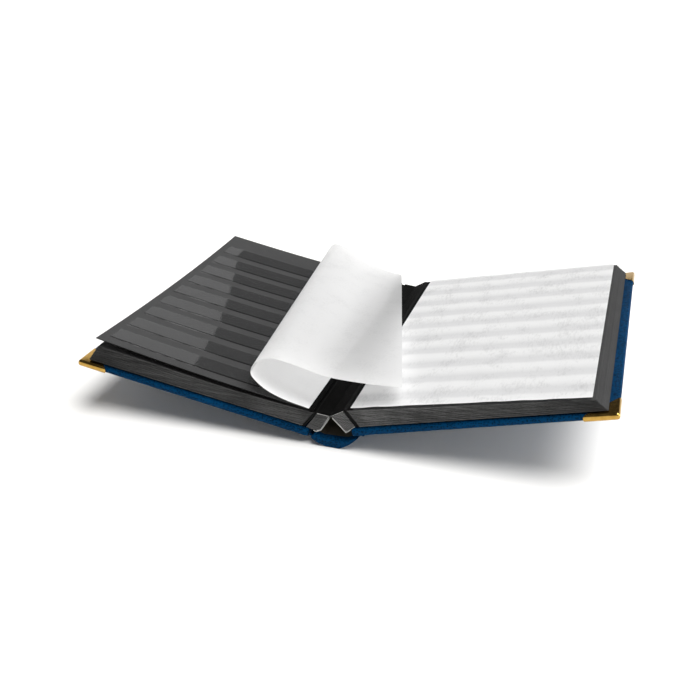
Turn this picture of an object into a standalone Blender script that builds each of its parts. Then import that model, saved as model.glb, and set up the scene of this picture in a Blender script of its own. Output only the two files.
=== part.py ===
"""An open padded stock album for stamps, standing on its spine: two padded covers with brass corners,
sixteen black card leaves a side on linen hinges, nine clear strips on the leaf that turns, and two
glassine interleaves, one flat and one curled back over the gutter.

X runs across the open album, Y along the spine and Z up. Every section is drawn in millimetres round
the gutter, the line where the two halves meet, and moved so that the origin is under the middle of the
album, on the surface it stands on.
"""

import math

import bmesh
import bpy
import numpy as np
from mathutils import Matrix, Vector

MM = 0.001

# The gutter's place above the origin, in millimetres
GUTTER_X = 1.4
GUTTER_Z = 29.4

# Driving dimensions, in millimetres
COVER_WIDTH = 220.5
COVER_HEIGHT = 305.0
COVER_THICK_INNER = 6.4
COVER_THICK_OUTER = 4.6
COVER_ROUNDING = 1.7
SKIN = 0.6
TURN_IN = 15.0
WINDOW_ABOVE = 1.0
WINDOW_BELOW = 2.0
BOARD = 1.6
PASTEDOWN = 0.4
PASTEDOWN_DEPTH = 0.1
CLEAR = 0.3
CORNER_LEG = 28.0
CORNER_SHEET = 0.4
CORNER_ROUNDING = 2.3
CORNER_ROUNDING_INSIDE = 1.9
LEAF_WIDTH = 205.0
LEAF_HEIGHT = 297.0
LEAF_CARD = 0.8
LEAF_GROUPS = 8
STACK_BACK = 1.6
STACK_LIFT_INNER = 0.7
STACK_LIFT_OUTER = 1.2
SAG_REACH = 1.35
HINGE_GAP = 3.2
STRIPS = 9
STRIP_PITCH = 29.85
STRIP_HEIGHT = 17.8
STRIP_FIRST = 11.2
STRIP_INSET = 7.6
STRIP_INSET_INNER = 5.0
STRIP_FILM = 0.25
GLASSINE = 0.3
INTERLEAF_INNER = (3.6, 2.0)
INTERLEAF_OUTER = (-0.4, 1.2)
LINEN = 0.4
MULL = 0.35

# Each half of the album: the cover's inner spine-side corner, the cover's tilt and the stack of leaves
SIDES = {
    "left": {
        "sign": -1,
        "cover": "front",
        "corner": (-19.3, -16.5),
        "tilt": 9.66,
        "top_inner": (-15.0, 0.5),
        "top_outer": (-217.0, 35.6),
        "shear": 8.8,
        "sag": 2.4,
        "stub": [(-0.9, -0.7), (-11.6, 0.4), (-22.4, -15.2), (-17.6, -15.9), (-13.2, -17.5), (-9.0, -15.2)],
        "lining": [(-1.3, -3.6), (-8.6, -15.7), (-13.1, -18.1), (-15.6, -17.2)],
        "linen": [(-0.9, 0.0), (-11.7, 1.1)],
        "names": ["02_03", "04_05", "06_07", "08_09", "10_11", "12_13", "14_15", "16"],
    },
    "right": {
        "sign": 1,
        "cover": "rear",
        "corner": (19.3, -9.5),
        "tilt": 13.5,
        "top_inner": (14.6, 7.1),
        "top_outer": (213.2, 48.9),
        "shear": 9.0,
        "sag": 0.4,
        "stub": [(0.9, -0.3), (11.4, 6.0), (22.4, -7.9), (19.4, -8.9), (17.3, -11.2), (14.1, -13.7)],
        "lining": [(1.9, -2.3), (14.0, -14.7), (17.4, -11.9)],
        "linen": [(0.9, 0.4), (11.4, 6.6)],
        "names": ["01_02", "03_04", "05_06", "07_08", "09_10", "11_12", "13_14", "15_16"],
    },
}

# The spine, end on: where its outer face turns up at each end, and the flat that it stands on
SPINE_LEFT = (-17.2, -22.4)
SPINE_RIGHT = (25.8, -15.9)
SPINE_FLAT = (-3.0, 9.0)
SPINE_BOTTOM = -GUTTER_Z
SPINE_TAPER = 0.45
SPINE_RIGHT_DROP = 0.15
SPINE_BULGE_LEFT = 1.3
SPINE_BULGE_RIGHT = 1.6
SPINE_SKIN = 0.7
SPINE_FOAM = 4.4
SPINE_FOAM_SHORT = 1.0
SPINE_BOARD = 1.6

# The cloth in the groove between the spine and each cover, end on
FRONT_JOINT = [(-17.6, -22.8), (-17.7, -23.5), (-22.6, -23.4), (-22.5, -22.9)]
REAR_JOINT = [(26.1, -15.7), (29.8, -14.4), (29.9, -15.0), (26.3, -16.4)]

# The leaf that turns: its hinge line, where its edge starts, and the lift and bow of its outer edge
TURN_HINGE = (-13.4, 1.4)
TURN_START = (-15.3, 1.35)
TURN_OUTER_X = -217.6
TURN_OUTER_Z = 37.4
TURN_LIFT = -2.6
TURN_BOW = 3.2
TURN_SAG = 1.8

# The curled interleaf's edges, from the hinge to the free edge: (x, z) at the front and at the back
CURL_FRONT = [(-19.0, 3.8), (-39.7, 8.7), (-56.0, 15.3), (-67.0, 23.8), (-70.8, 31.2), (-66.0, 40.6), (-51.6, 47.0),
              (-31.1, 43.8), (-1.7, 36.9), (32.8, 35.5), (62.6, 36.6)]
CURL_BACK = [(-18.0, 3.6), (-41.6, 8.9), (-67.9, 14.0), (-89.0, 21.0), (-100.4, 31.0), (-99.0, 38.5), (-91.0, 41.3),
             (-73.2, 34.8), (-50.8, 21.4), (-30.0, 14.6), (-16.1, 12.6)]
CURL_FOLD = 4
CURL_STEPS = 4

COLOURS = {
    "leatherette": ((0.006, 0.035, 0.115, 1), 0.45, 0),
    "board": ((0.23, 0.20, 0.16, 1), 0.9, 0),
    "foam": ((0.75, 0.74, 0.70, 1), 0.95, 0),
    "black_card": ((0.035, 0.035, 0.037, 1), 0.6, 0),
    "linen": ((0.012, 0.012, 0.013, 1), 0.8, 0),
    "mull": ((0.8, 0.8, 0.78, 1), 0.9, 0),
    "brass": ((0.72, 0.47, 0.15, 1), 0.25, 1),
    "clear_film": ((0.55, 0.57, 0.58, 1), 0.12, 0),
    "glassine": ((0.86, 0.86, 0.85, 1), 0.4, 0),
}

UP_ON_Y = Matrix.Rotation(math.pi / 2, 4, "X")


def clear_scene():
    for thing in list(bpy.data.objects):
        bpy.data.objects.remove(thing, do_unlink=True)


def new_collection(name):
    group = bpy.data.collections.new(name)
    bpy.context.scene.collection.children.link(group)
    return group


def make_materials():
    made = {}
    for name, (colour, roughness, metallic) in COLOURS.items():
        material = bpy.data.materials.new(name)
        material.use_nodes = True
        shader = material.node_tree.nodes["Principled BSDF"]
        shader.inputs["Base Color"].default_value = colour
        shader.inputs["Roughness"].default_value = roughness
        shader.inputs["Metallic"].default_value = metallic
        material.diffuse_color = colour
        made[name] = material
    return made


def place(point):
    """A point (x, z) drawn round the gutter, in millimetres, as metres from the origin."""
    return ((point[0] + GUTTER_X) * MM, (point[1] + GUTTER_Z) * MM)


def add(mesh, name, group, material=None):
    thing = bpy.data.objects.new(name, mesh)
    if material:
        mesh.materials.append(material)
    group.objects.link(thing)
    return thing


def prism(name, outline, length, group, material=None, middle_y=0.0):
    """An outline in the XZ plane, run along Y. It becomes a mesh, so that it can take modifiers."""
    curve = bpy.data.curves.new(name + "_outline", "CURVE")
    curve.dimensions = "2D"
    curve.fill_mode = "BOTH"
    curve.extrude = length * MM / 2
    spline = curve.splines.new("POLY")
    spline.points.add(len(outline) - 1)
    spline.use_cyclic_u = True
    for point, place_of in zip(spline.points, outline):
        x, z = place(place_of)
        point.co = (x, z, 0, 1)
    drawn = bpy.data.objects.new(name + "_drawn", curve)
    group.objects.link(drawn)
    bpy.context.view_layer.update()
    graph = bpy.context.evaluated_depsgraph_get()
    mesh = bpy.data.meshes.new_from_object(drawn.evaluated_get(graph))
    bpy.data.objects.remove(drawn, do_unlink=True)
    shape = bmesh.new()
    shape.from_mesh(mesh)
    bmesh.ops.remove_doubles(shape, verts=shape.verts, dist=1e-6)
    bmesh.ops.transform(shape, matrix=Matrix.Translation((0, middle_y * MM, 0)) @ UP_ON_Y, verts=shape.verts)
    bmesh.ops.recalc_face_normals(shape, faces=shape.faces)
    shape.to_mesh(mesh)
    shape.free()
    mesh.name = name
    return add(mesh, name, group, material)


def ribbon(path, thickness):
    """The outline of a strip of this thickness, with the path as its lower side for a path that runs left."""
    points = np.array(path, float)
    along = np.gradient(points, axis=0)
    along /= np.linalg.norm(along, axis=1)[:, None]
    across = np.stack([along[:, 1], -along[:, 0]], axis=1)
    return [tuple(p) for p in points] + [tuple(p) for p in (points + thickness * across)[::-1]]


def bevel(thing, width, segments):
    made = thing.modifiers.new("Bevel", "BEVEL")
    made.width = width * MM
    made.segments = segments
    made.limit_method = "ANGLE"
    made.angle_limit = math.radians(40)


def boolean(thing, cutter, operation):
    made = thing.modifiers.new("Boolean " + cutter.name, "BOOLEAN")
    made.operation = operation
    made.object = cutter
    made.solver = "EXACT"


def as_cutter(thing):
    thing.hide_render = True
    thing.display_type = "WIRE"
    return thing


def cover_frame(side):
    """A function from (u, v) on this side's cover, u outwards from the spine and v down through it, to (x, z)."""
    tilt = math.radians(side["tilt"])
    outward = np.array([side["sign"] * math.cos(tilt), math.sin(tilt)])
    down = np.array([side["sign"] * math.sin(tilt), -math.cos(tilt)])
    corner = np.array(side["corner"])
    return lambda u, v: tuple(corner + u * outward + v * down)


def cover_thickness(u):
    share = u / COVER_WIDTH
    return COVER_THICK_INNER + share * (COVER_THICK_OUTER - COVER_THICK_INNER)


def slab(at, grow, top=0.0, bottom=0.0):
    """A cover's section grown by this much, with its faces moved in by top and bottom."""
    low, high = -grow, COVER_WIDTH + grow
    return [
        at(low, top - grow),
        at(high, top - grow),
        at(high, cover_thickness(high) + grow - bottom),
        at(low, cover_thickness(low) + grow - bottom),
    ]


def make_skin(side, at, parts, cutters, materials):
    """The leatherette: wrapped round the outside, turned in over the inner face and open in its middle."""
    name = side["cover"] + "_cover_skin"
    skin = prism(name, slab(at, 0), COVER_HEIGHT, parts, materials["leatherette"])
    bevel(skin, COVER_ROUNDING, 3)
    hollow = as_cutter(prism(name + "_hollow", slab(at, -SKIN), COVER_HEIGHT - 2 * SKIN, cutters))
    window_outline = [
        at(TURN_IN, -WINDOW_ABOVE),
        at(COVER_WIDTH - TURN_IN, -WINDOW_ABOVE),
        at(COVER_WIDTH - TURN_IN, WINDOW_BELOW),
        at(TURN_IN, WINDOW_BELOW),
    ]
    window = as_cutter(prism(name + "_window", window_outline, COVER_HEIGHT - 2 * TURN_IN, cutters))
    boolean(skin, hollow, "DIFFERENCE")
    boolean(skin, window, "DIFFERENCE")
    return skin


def make_cover_layers(side, at, parts, materials):
    """What the skin wraps: the pastedown in its window, the board, and the foam that pads the outer face."""
    cover = side["cover"]
    edge = TURN_IN + CLEAR
    paper = [
        at(edge, PASTEDOWN_DEPTH),
        at(COVER_WIDTH - edge, PASTEDOWN_DEPTH),
        at(COVER_WIDTH - edge, PASTEDOWN_DEPTH + PASTEDOWN),
        at(edge, PASTEDOWN_DEPTH + PASTEDOWN),
    ]
    low, high = SKIN + CLEAR, COVER_WIDTH - SKIN - CLEAR
    board_top = SKIN + CLEAR
    board_bottom = board_top + BOARD
    height = COVER_HEIGHT - 2 * (SKIN + CLEAR)
    board = [at(low, board_top), at(high, board_top), at(high, board_bottom), at(low, board_bottom)]
    foam = [
        at(low, board_bottom + CLEAR),
        at(high, board_bottom + CLEAR),
        at(high, cover_thickness(high) - SKIN - CLEAR),
        at(low, cover_thickness(low) - SKIN - CLEAR),
    ]
    return [
        prism(cover + "_pastedown", paper, COVER_HEIGHT - 2 * edge, parts, materials["black_card"]),
        prism(cover + "_board", board, height, parts, materials["board"]),
        prism(cover + "_foam_padding", foam, height, parts, materials["foam"]),
    ]


def make_corner(side, at, end, parts, cutters, materials):
    """A brass corner folded round the cover's outer corner, front or back, and cut off on the diagonal."""
    name = side["cover"] + "_cover_corner_" + end
    outward = {"front": -1, "back": 1}[end]
    sheet = CLEAR + CORNER_SHEET
    corner = prism(name, slab(at, sheet), COVER_HEIGHT + 2 * sheet, parts, materials["brass"])
    bevel(corner, CORNER_ROUNDING, 2)
    inside = as_cutter(prism(name + "_inside", slab(at, CLEAR), COVER_HEIGHT + 2 * CLEAR, cutters))
    bevel(inside, CORNER_ROUNDING_INSIDE, 2)
    half = CORNER_LEG / math.sqrt(2)
    shape = bmesh.new()
    bmesh.ops.create_cube(shape, size=2 * half * MM)
    mesh = bpy.data.meshes.new(name + "_diagonal")
    shape.to_mesh(mesh)
    shape.free()
    diagonal = as_cutter(add(mesh, name + "_diagonal", cutters))
    x, z = place(at(COVER_WIDTH + sheet, COVER_THICK_OUTER / 2))
    lean = Matrix.Rotation(-side["sign"] * math.radians(side["tilt"]), 4, "Y")
    turn = Matrix.Rotation(math.pi / 4, 4, "Z")
    place_at = Vector((x, outward * (COVER_HEIGHT / 2 + sheet) * MM, z))
    diagonal.matrix_world = Matrix.Translation(place_at) @ lean @ turn
    boolean(corner, diagonal, "INTERSECT")
    boolean(corner, inside, "DIFFERENCE")
    return corner


def stack_line(side, at, share, steps=6):
    """The face at this share of the way down a stack of leaves, as points from the hinge outwards."""
    top = [np.array(side["top_inner"]), np.array(side["top_outer"])]
    back = side["shear"] - STACK_BACK
    bottom = [np.array(at(back, -STACK_LIFT_INNER)), np.array(at(back + LEAF_WIDTH, -STACK_LIFT_OUTER))]
    inner = top[0] + share * (bottom[0] - top[0])
    outer = top[1] + share * (bottom[1] - top[1])
    outer = inner + (outer - inner) / np.linalg.norm(outer - inner) * LEAF_WIDTH
    points = []
    for step in np.linspace(0, 1, steps):
        point = inner + step * (outer - inner)
        point[1] -= side["sag"] * (1 - share) * math.sin(math.pi * min(1, SAG_REACH * step))
        points.append(tuple(point))
    return points


def make_stack(side, label, at, parts, materials):
    """The leaves that stay on this side, two to a node, each stack sheared along the slanted hinge line."""
    made = []
    for index, name in enumerate(side["names"]):
        top = stack_line(side, at, index / LEAF_GROUPS)
        bottom = stack_line(side, at, (index + 1) / LEAF_GROUPS)
        bottom = [(x, z + CLEAR) for x, z in bottom]
        outline = top + bottom[::-1]
        made.append(prism(f"{label}_leaves_{name}", outline, LEAF_HEIGHT, parts, materials["black_card"]))
    return made


def make_binding(side, label, at, parts, materials):
    """The stub that the leaves are bound to, the linen over it, the slanted linen hinge and the lining."""
    sign = side["sign"]
    stub = prism(label + "_stub", side["stub"], LEAF_HEIGHT, parts, materials["black_card"])
    cover_strip = ribbon(side["linen"], sign * -LINEN)
    gutter = prism(label + "_gutter_linen", cover_strip, LEAF_HEIGHT, parts, materials["linen"])
    top = np.array(side["top_inner"]) - (sign * CLEAR, 0)
    bottom = np.array(stack_line(side, at, 1)[0]) - (sign * CLEAR, -CLEAR)
    depth = HINGE_GAP - 2 * CLEAR
    hinge_outline = [tuple(top), tuple(bottom), tuple(bottom - (sign * depth, 0)), tuple(top - (sign * depth, 0))]
    hinge = prism(label + "_linen_hinge", hinge_outline, LEAF_HEIGHT, parts, materials["linen"])
    lining_outline = ribbon(side["lining"], sign * MULL)
    lining = prism(label + "_mull_lining", lining_outline, LEAF_HEIGHT, parts, materials["mull"])
    return [stub, gutter, hinge, lining]


def arc(start, end, bulge, steps):
    """Points of a shallow curve from start to end that bulges downwards in its middle by this much."""
    points = []
    for share in np.linspace(0, 1, steps):
        x = start[0] + share * (end[0] - start[0])
        z = start[1] + share * (end[1] - start[1]) - bulge * math.sin(math.pi * share)
        points.append((x, z))
    return points


def spine_face(depth, steps=5):
    """The spine's section at this depth in from its outer face: a flat foot with a curve up to each end."""
    inset = depth * SPINE_TAPER
    foot_left = (SPINE_FLAT[0], SPINE_BOTTOM + depth)
    foot_right = (SPINE_FLAT[1], SPINE_BOTTOM + depth)
    left = (SPINE_LEFT[0] + inset, SPINE_LEFT[1] + inset)
    right = (SPINE_RIGHT[0] - inset, SPINE_RIGHT[1] - depth * SPINE_RIGHT_DROP)
    rise = arc(left, foot_left, SPINE_BULGE_LEFT, steps)
    return rise + arc(foot_right, right, SPINE_BULGE_RIGHT, steps)


def spine_layer(name, depth, thickness, parts, material, height):
    outline = spine_face(depth) + spine_face(depth + thickness)[::-1]
    return prism(name, outline, height, parts, material)


def make_spine(parts, materials):
    foam_depth = SPINE_SKIN + CLEAR
    board_depth = foam_depth + SPINE_FOAM + CLEAR
    foam_height = COVER_HEIGHT - SPINE_FOAM_SHORT
    return [
        spine_layer("spine_skin", 0, SPINE_SKIN, parts, materials["leatherette"], COVER_HEIGHT),
        spine_layer("spine_foam", foam_depth, SPINE_FOAM, parts, materials["foam"], foam_height),
        spine_layer("spine_board", board_depth, SPINE_BOARD, parts, materials["board"], COVER_HEIGHT),
    ]


def make_joints(parts, materials):
    """The leatherette folded into the groove between the spine and each cover."""
    return [
        prism("front_joint_cloth", FRONT_JOINT, COVER_HEIGHT, parts, materials["leatherette"]),
        prism("rear_joint_cloth", REAR_JOINT, COVER_HEIGHT, parts, materials["leatherette"]),
    ]


def turn_leaf_height(x, y):
    """The underside of the leaf that turns: it rises from the hinge, sags a little and is bowed along Y."""
    share = (x - TURN_START[0]) / (TURN_OUTER_X - TURN_START[0])
    along = y / (LEAF_HEIGHT / 2)
    outer = TURN_OUTER_Z + TURN_LIFT * along + TURN_BOW * along * along
    return TURN_START[1] + share * (outer - TURN_START[1]) - TURN_SAG * math.sin(math.pi * share)


def sheet_mesh(name, grid):
    """An open sheet from a grid of (x, y, z) rows in millimetres round the gutter."""
    shape = bmesh.new()
    rows = []
    for row in grid:
        placed = []
        for x, y, z in row:
            px, pz = place((x, z))
            placed.append(shape.verts.new((px, y * MM, pz)))
        rows.append(placed)
    for near, far in zip(rows, rows[1:]):
        for a, b, c, d in zip(near, near[1:], far[1:], far):
            shape.faces.new((a, b, c, d))
    bmesh.ops.recalc_face_normals(shape, faces=shape.faces)
    mesh = bpy.data.meshes.new(name)
    shape.to_mesh(mesh)
    shape.free()
    return mesh


def sheet(name, grid, thickness, group, material):
    """A sheet with its lower face on the grid, when the grid's rows run along Y and each row runs outwards."""
    thing = add(sheet_mesh(name, grid), name, group, material)
    made = thing.modifiers.new("Solidify", "SOLIDIFY")
    made.thickness = thickness * MM
    made.offset = 1 if thing.data.polygons[0].normal.z > 0 else -1
    made.use_even_offset = False
    return thing


def leaf_grid(x_low, x_high, y_low, y_high, lift, x_steps, y_steps):
    grid = []
    for y in np.linspace(y_low, y_high, y_steps):
        row = []
        for x in np.linspace(x_low, x_high, x_steps):
            row.append((x, y, turn_leaf_height(x, y) + lift))
        grid.append(row)
    return grid


def strip_low_edge(index):
    """The lower edge, the one nearest the reader, of a clear strip: they are spaced evenly up the leaf."""
    return -LEAF_HEIGHT / 2 + STRIP_FIRST + index * STRIP_PITCH


def make_turning_leaf(parts, materials):
    half = LEAF_HEIGHT / 2
    card_grid = leaf_grid(TURN_OUTER_X, TURN_START[0], -half, half, 0, 9, 7)
    made = [sheet("turning_leaf", card_grid, LEAF_CARD, parts, materials["black_card"])]
    outer, inner = TURN_OUTER_X + STRIP_INSET, TURN_START[0] - STRIP_INSET_INNER
    for index in range(STRIPS):
        low = strip_low_edge(index)
        grid = leaf_grid(outer, inner, low, low + STRIP_HEIGHT, LEAF_CARD + CLEAR, 9, 2)
        name = f"clear_strip_{index + 1}"
        made.append(sheet(name, grid, STRIP_FILM, parts, materials["clear_film"]))
    return made


def spline_through(points, per_span):
    """A smooth curve through the points, with this many steps between each two of them."""
    ends = [2 * np.array(points[0]) - points[1]] + [np.array(p) for p in points]
    ends.append(2 * np.array(points[-1]) - points[-2])
    curve = []
    for index in range(1, len(ends) - 2):
        before, start, end, after = ends[index - 1 : index + 3]
        for t in np.linspace(0, 1, per_span, endpoint=False):
            linear = (end - before) * t
            square = (2 * before - 5 * start + 4 * end - after) * t**2
            cube = (3 * start - before - 3 * end + after) * t**3
            curve.append(0.5 * (2 * start + linear + square + cube))
    curve.append(np.array(points[-1], float))
    return curve


def make_interleaves(side, parts, materials):
    """One glassine sheet lies flat on the right page. The other is curled back, in a base and a flap."""
    half = LEAF_HEIGHT / 2
    front = spline_through(CURL_FRONT, CURL_STEPS)
    back = spline_through(CURL_BACK, CURL_STEPS)
    fold = CURL_FOLD * CURL_STEPS
    pieces = {"curled_interleaf_base": (0, fold), "curled_interleaf_flap": (fold + 1, len(front) - 1)}
    made = []
    for name, (first, last) in pieces.items():
        grid = []
        for share in np.linspace(0, 1, 5):
            row = []
            for index in range(first, last + 1):
                x, z = front[index] + share * (back[index] - front[index])
                row.append((x, (2 * share - 1) * half, z))
            grid.append(row)
        made.append(sheet(name, grid, GLASSINE, parts, materials["glassine"]))
    inner = np.array(side["top_inner"]) + INTERLEAF_INNER
    outer = np.array(side["top_outer"]) + INTERLEAF_OUTER
    flat = ribbon([tuple(inner), tuple((inner + outer) / 2), tuple(outer)], -GLASSINE)
    made.append(prism("right_interleaf", flat, LEAF_HEIGHT, parts, materials["glassine"]))
    return made


def main():
    clear_scene()
    parts = new_collection("stamp_album")
    cutters = new_collection("stamp_album_cutters")
    materials = make_materials()
    make_spine(parts, materials)
    make_joints(parts, materials)
    for label, side in SIDES.items():
        at = cover_frame(side)
        make_skin(side, at, parts, cutters, materials)
        make_cover_layers(side, at, parts, materials)
        for end in ("front", "back"):
            make_corner(side, at, end, parts, cutters, materials)
        make_stack(side, label, at, parts, materials)
        make_binding(side, label, at, parts, materials)
    make_turning_leaf(parts, materials)
    make_interleaves(SIDES["right"], parts, materials)


main()
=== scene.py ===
import math
import random

import bmesh
import bpy
import numpy as np
from mathutils import Matrix, Vector


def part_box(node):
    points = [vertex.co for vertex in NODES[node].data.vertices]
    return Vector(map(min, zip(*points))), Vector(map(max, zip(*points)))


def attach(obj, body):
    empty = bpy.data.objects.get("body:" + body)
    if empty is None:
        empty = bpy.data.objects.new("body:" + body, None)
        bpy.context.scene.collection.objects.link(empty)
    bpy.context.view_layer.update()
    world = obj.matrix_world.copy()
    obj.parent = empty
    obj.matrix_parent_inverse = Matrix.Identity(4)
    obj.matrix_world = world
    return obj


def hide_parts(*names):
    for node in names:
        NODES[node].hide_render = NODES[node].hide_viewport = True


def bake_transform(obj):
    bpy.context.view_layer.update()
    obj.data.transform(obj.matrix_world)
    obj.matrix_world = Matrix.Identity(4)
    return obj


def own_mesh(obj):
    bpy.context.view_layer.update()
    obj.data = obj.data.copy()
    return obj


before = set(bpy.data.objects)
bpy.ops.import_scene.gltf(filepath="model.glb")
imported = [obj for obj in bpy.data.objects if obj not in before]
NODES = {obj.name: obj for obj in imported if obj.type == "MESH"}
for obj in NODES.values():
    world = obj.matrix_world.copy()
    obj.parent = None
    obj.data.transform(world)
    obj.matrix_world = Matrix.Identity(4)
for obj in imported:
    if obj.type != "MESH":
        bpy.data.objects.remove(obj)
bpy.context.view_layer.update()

MM = 0.001

# All lengths below are in millimetres, and points are (x, z) round the gutter, where the two halves meet.

# The covers: how far the board lies inside the skin, the padded cover's thickness at both ends, the margin turned in
# round the recessed pastedown, the padding's crown, how far in it rises, and the share of it that lies within the
# thickness
BOARD_INSET = 0.9
COVER_THICK_INNER = 6.4
COVER_THICK_OUTER = 4.6
COVER_ROUNDING = 1.9
TURN_IN = 15.0
RECESS = 0.6
PAD_CROWN = 0.9
PAD_RISE = 22.0
PAD_WITHIN = 0.6

# The metal corners: their leg along each edge, the sheet, the roundings outside and inside, and the slit at the tip
CORNER_LEG = 28.0
CORNER_CLEAR = 0.25
CORNER_SHEET = 0.45
CORNER_ROUNDING = 2.5
CORNER_ROUNDING_INSIDE = 2.1
CORNER_SLIT = (2.6, 0.5, 3.0)

# The spine's section: where its outer face ends, its flat foot, how far the curves up to its ends bulge, and how its
# ends move in with depth
SPINE_LEFT = (-17.2, -22.4)
SPINE_RIGHT = (25.8, -15.9)
SPINE_FLAT = (-3.0, 9.0)
SPINE_BULGE_LEFT = 1.3
SPINE_BULGE_RIGHT = 1.6
SPINE_TAPER = 0.45
SPINE_RIGHT_DROP = 0.15
SPINE_DEPTH = 7.3
SPINE_TURN_IN = 9.0
SPINE_ROUNDING = 1.3

# The leatherette folds between the spine and the covers: their sections, and how far short of the ends they stop
JOINT_PATHS = {
    "front": [(-15.6, -22.6), (-17.4, -22.2), (-18.9, -21.6), (-20.4, -22.6), (-22.6, -23.1)],
    "rear": [(24.4, -16.2), (26.0, -15.5), (27.2, -14.6), (28.4, -14.6), (30.0, -14.5)],
}
JOINT_THICK = 0.5
JOINT_SHORT = 3.5

# The leaves: cards drawn for each CAD node, the gap between them as a share, how unevenly their edges lie, and the
# steps along a card, across a page, and both ways over the leaf that turns
CARDS_PER_NODE = 4
CARD_GAP = 0.16
CARD_SCATTER = 0.35
CARD_STAGGER = 0.25
CARD_RIPPLE = 0.05
CARD_STEPS = 9
PAGE_STEPS = 60
LEAF_STEPS = (41, 31)
LEAF_CARD = 0.8
# How far from the gutter the painted light on the cards' cut ends is graded
EDGE_REACH = 220.0

# The clear strips: their places on a page, how far the film and its rim stand off, how soon the film opens beyond its
# ends, and the seam along the low edge, whose section is given as shares of its width and heights
STRIPS = 9
STRIP_PITCH = 29.85
STRIP_HEIGHT = 17.8
STRIP_FIRST = 11.2
STRIP_INSET = 7.6
STRIP_INSET_INNER = 5.0
STRIP_STEPS = 33
SEAM = 1.4
SEAM_SECTION = ((-1.0, 0.02), (-0.7, 0.2), (-0.3, 0.2), (0.0, 0.14))
FILM_RIM = 0.35
FILM_LIFT = 0.12
FILM_PUFF = 0.3
FILM_OPENING = 12
RIM_LIFT = 0.13

# The binding: card tabs in each stub, the frayed gauze round it, the thread's knot on the gauze, and the linen over the
# stub and the inner margins
STUB_TABS = 14
TAB_SHARE = 0.82
TAB_SCATTER = (-0.25, 0.15)
GAUZE_RADIUS = 0.13
GAUZE_FRAY = 0.12
GAUZE_PROUD = 0.3
GAUZE_END = (-0.6, 0.6)
KNOT_PLACE = 0.93
KNOT_SIZE = 0.6
KNOT_SHAPE = (1.2, 0.8, 1, 1)
LINEN_REACH = 0.75
LINEN_PROUD = 0.2
TAPE = 0.25
TAPE_WIDTH = 5.2
TAPE_CLEAR = 0.03
TAPE_STEPS = 41

# The leaf that turns: its hinge, where it starts, and its outer edge's place, lift, bow and sag
TURN_HINGE = (-13.4, 1.4)
TURN_START = (-15.3, 1.35)
TURN_OUTER = (-217.6, 37.4)
TURN_LIFT = -2.6
TURN_BOW = 3.2
TURN_SAG = 1.8
PAGE_NORMAL = (0.175, 0, 0.985)
LEAF_KEEP = 0.55

# Where the strips and the tapes lie across the two pages that don't turn
LEFT_PAGE_STRIPS = (-207.0, -22.3)
RIGHT_PAGE_STRIPS = (20.5, 205.5)
LEFT_PAGE_EDGE = -13.6
RIGHT_PAGE_EDGE = 14.7

# The curled interleaf's front and back edges, from the hinge to the free edge. Up to the fold it is the base, and
# beyond it the flap, which flattens along its own direction on to a place a little under the fold.
CURL_FRONT = [(-19.0, 3.8), (-39.7, 8.7), (-56.0, 15.3), (-67.0, 23.8), (-70.8, 31.2), (-66.0, 40.6), (-51.6, 47.0),
              (-31.1, 43.8), (-1.7, 36.9), (32.8, 35.5), (62.6, 36.6)]
CURL_BACK = [(-18.0, 3.6), (-41.6, 8.9), (-67.9, 14.0), (-89.0, 21.0), (-100.4, 31.0), (-99.0, 38.5), (-91.0, 41.3),
             (-73.2, 34.8), (-50.8, 21.4), (-30.0, 14.6), (-16.1, 12.6)]
CURL_FOLD = 4
CURL_STEPS = 10
CURL_ROWS = 33
FLAP_NORMAL = (0.037, 0, 0.999)
FLAP_DROP = 1.5

# The flat interleaf: how far its front edge stands up and strays, and its ripple all over
SHEET_COCKLE = 0.7
SHEET_FRAY = 0.6
SHEET_RIPPLE = 0.22
SHEET_ROWS = 61

LEAF_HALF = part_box("right_leaves_01_02")[1].y / MM
GUTTER = Vector((1.4, 0, 29.4))


# ---- Materials ----

def new_material(name, colour, roughness, metallic=0.0, specular=0.5):
    """A material, its node tree and its shader."""
    made = bpy.data.materials.new(name)
    made.use_nodes = True
    shader = made.node_tree.nodes["Principled BSDF"]
    shader.inputs["Base Color"].default_value = (*colour, 1)
    shader.inputs["Roughness"].default_value = roughness
    shader.inputs["Metallic"].default_value = metallic
    shader.inputs["Specular IOR Level"].default_value = specular
    return made, made.node_tree, shader


def texture(tree, kind, per_mm, stretch=(1, 1, 1), tilt=0.0, **values):
    """A procedural texture in the object's own space, with this many features to a millimetre, tilted about Y."""
    place = tree.nodes.new("ShaderNodeTexCoord")
    mapping = tree.nodes.new("ShaderNodeMapping")
    mapping.inputs["Scale"].default_value = [per_mm / MM * s for s in stretch]
    mapping.inputs["Rotation"].default_value = (0, tilt, 0)
    made = tree.nodes.new("ShaderNodeTex" + kind)
    tree.links.new(place.outputs["Object"], mapping.inputs["Vector"])
    tree.links.new(mapping.outputs["Vector"], made.inputs["Vector"])
    made.inputs["Scale"].default_value = 1
    for key, value in values.items():
        made.inputs[key].default_value = value
    return made


def ramp(tree, source, stops):
    """Colours or greys by position along the source's value."""
    made = tree.nodes.new("ShaderNodeValToRGB")
    elements = made.color_ramp.elements
    while len(elements) < len(stops):
        elements.new(0.5)
    for element, (position, colour) in zip(elements, stops):
        element.position = position
        grey = isinstance(colour, (int, float))
        element.color = (colour, colour, colour, 1) if grey else (*colour, 1)
    tree.links.new(source, made.inputs["Fac"])
    return made.outputs["Color"]


def math_node(tree, operation, first, second=0.0):
    made = tree.nodes.new("ShaderNodeMath")
    made.operation = operation
    for socket, value in zip(made.inputs, (first, second)):
        if isinstance(value, (int, float)):
            socket.default_value = value
        else:
            tree.links.new(value, socket)
    return made.outputs[0]


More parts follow.
